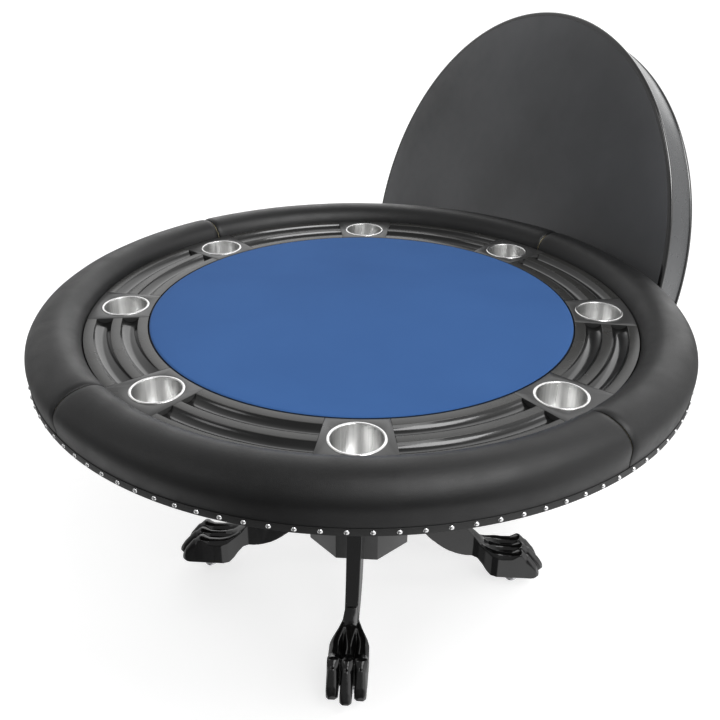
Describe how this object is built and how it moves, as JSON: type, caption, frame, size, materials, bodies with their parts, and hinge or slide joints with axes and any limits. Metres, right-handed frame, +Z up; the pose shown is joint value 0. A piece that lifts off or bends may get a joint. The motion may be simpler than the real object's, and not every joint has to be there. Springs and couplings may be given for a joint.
{
  "type": "round poker table with dining top",
  "caption": "Round poker table with padded rail, racetrack with cup holders and chip grooves, blue cloth, claw-foot pedestal, and a loose dining top standing behind it.",
  "frame": {"origin": "on the table's axis, at the floor under the pedestal", "axes": "+Z up, the table's front faces -Y with one cup holder on that side, +X to the right; the loose dining top stands behind and to the right"},
  "size_m": [1.5237, 2.0659, 1.2755],
  "materials": {
    "plywood": "plywood, stained dark",
    "foam": "open foam",
    "rail_vinyl": "grained satin vinyl",
    "band_vinyl": "satin vinyl strip",
    "nail_chrome": "polished",
    "zinc_steel": "zinc plated",
    "racetrack_satin": "dark satin laminate on board",
    "stainless": "brushed stainless steel",
    "blue_cloth": "blue speed cloth",
    "black_lacquer": "black semi-gloss lacquer",
    "brass_insert": "machined",
    "dark_steel": "blackened, polished edge",
    "dining_satin": "charcoal satin laminate",
    "dining_edge": "grey satin lacquer",
    "black_gloss": "black gloss lacquer"
  },
  "bodies": {
    "table": {"base_board": "plywood", "rail_base": "plywood", "rail_core": "plywood", "rail_foam": "foam", "rail_cover_1": "rail_vinyl", "rail_cover_2": "rail_vinyl", "rail_cover_3": "rail_vinyl", "rail_cover_4": "rail_vinyl", "nail_band": "band_vinyl", "nail_heads": "nail_chrome", "rail_screws": "zinc_steel", "cup_panel_1": "racetrack_satin", "cup_panel_2": "racetrack_satin", "cup_panel_3": "racetrack_satin", "cup_panel_4": "racetrack_satin", "cup_panel_5": "racetrack_satin", "cup_panel_6": "racetrack_satin", "cup_panel_7": "racetrack_satin", "cup_panel_8": "racetrack_satin", "chip_tray_1": "racetrack_satin", "chip_tray_2": "racetrack_satin", "chip_tray_3": "racetrack_satin", "chip_tray_4": "racetrack_satin", "chip_tray_5": "racetrack_satin", "chip_tray_6": "racetrack_satin", "chip_tray_7": "racetrack_satin", "chip_tray_8": "racetrack_satin", "mounting_plate": "plywood", "plate_screws": "zinc_steel", "block_screws": "zinc_steel", "column": "black_lacquer", "column_top_block": "plywood", "column_bottom_cap": "black_lacquer", "leg_1": "black_lacquer", "leg_2": "black_lacquer", "leg_3": "black_lacquer", "leg_4": "black_lacquer", "leg_bolts": "zinc_steel", "leg_nuts": "zinc_steel", "leveller_inserts": "brass_insert"},
    "cup_1": {"cup_holder_1": "stainless"},
    "cup_2": {"cup_holder_2": "stainless"},
    "cup_3": {"cup_holder_3": "stainless"},
    "cup_4": {"cup_holder_4": "stainless"},
    "cup_5": {"cup_holder_5": "stainless"},
    "cup_6": {"cup_holder_6": "stainless"},
    "cup_7": {"cup_holder_7": "stainless"},
    "cup_8": {"cup_holder_8": "stainless"},
    "playing_surface": {"playing_board": "plywood", "playing_foam": "foam", "playing_cloth": "blue_cloth"},
    "levelling_foot_1": {"leveller_1": "dark_steel"},
    "levelling_foot_2": {"leveller_2": "dark_steel"},
    "levelling_foot_3": {"leveller_3": "dark_steel"},
    "levelling_foot_4": {"leveller_4": "dark_steel"},
    "dining_top": {"dining_panel": "dining_satin", "dining_apron": "dining_edge", "dining_front_bead": "black_gloss", "dining_rear_bead": "black_gloss", "dining_battens": "plywood"}
  },
  "joints": [
    {"name": "cup_1_lift", "type": "slide", "parent": "table", "child": "cup_1", "axis": [0, 0, 1], "range_m": [0, 0.09]},
    {"name": "cup_2_lift", "type": "slide", "parent": "table", "child": "cup_2", "axis": [0, 0, 1], "range_m": [0, 0.09]},
    {"name": "cup_3_lift", "type": "slide", "parent": "table", "child": "cup_3", "axis": [0, 0, 1], "range_m": [0, 0.09]},
    {"name": "cup_4_lift", "type": "slide", "parent": "table", "child": "cup_4", "axis": [0, 0, 1], "range_m": [0, 0.09]},
    {"name": "cup_5_lift", "type": "slide", "parent": "table", "child": "cup_5", "axis": [0, 0, 1], "range_m": [0, 0.09]},
    {"name": "cup_6_lift", "type": "slide", "parent": "table", "child": "cup_6", "axis": [0, 0, 1], "range_m": [0, 0.09]},
    {"name": "cup_7_lift", "type": "slide", "parent": "table", "child": "cup_7", "axis": [0, 0, 1], "range_m": [0, 0.09]},
    {"name": "cup_8_lift", "type": "slide", "parent": "table", "child": "cup_8", "axis": [0, 0, 1], "range_m": [0, 0.09]},
    {"name": "playing_surface_lift", "type": "slide", "parent": "table", "child": "playing_surface", "axis": [0, 0, 1], "range_m": [0, 0.12]},
    {"name": "levelling_foot_1_screw", "type": "slide", "parent": "table", "child": "levelling_foot_1", "axis": [0, 0, -1], "range_m": [0, 0.012]},
    {"name": "levelling_foot_2_screw", "type": "slide", "parent": "table", "child": "levelling_foot_2", "axis": [0, 0, -1], "range_m": [0, 0.012]},
    {"name": "levelling_foot_3_screw", "type": "slide", "parent": "table", "child": "levelling_foot_3", "axis": [0, 0, -1], "range_m": [0, 0.012]},
    {"name": "levelling_foot_4_screw", "type": "slide", "parent": "table", "child": "levelling_foot_4", "axis": [0, 0, -1], "range_m": [0, 0.012]},
    {"name": "dining_top_lift", "type": "slide", "parent": "table", "child": "dining_top", "axis": [0.2338, 0.1223, 0.9646], "range_m": [0, 0.3]}
  ]
}
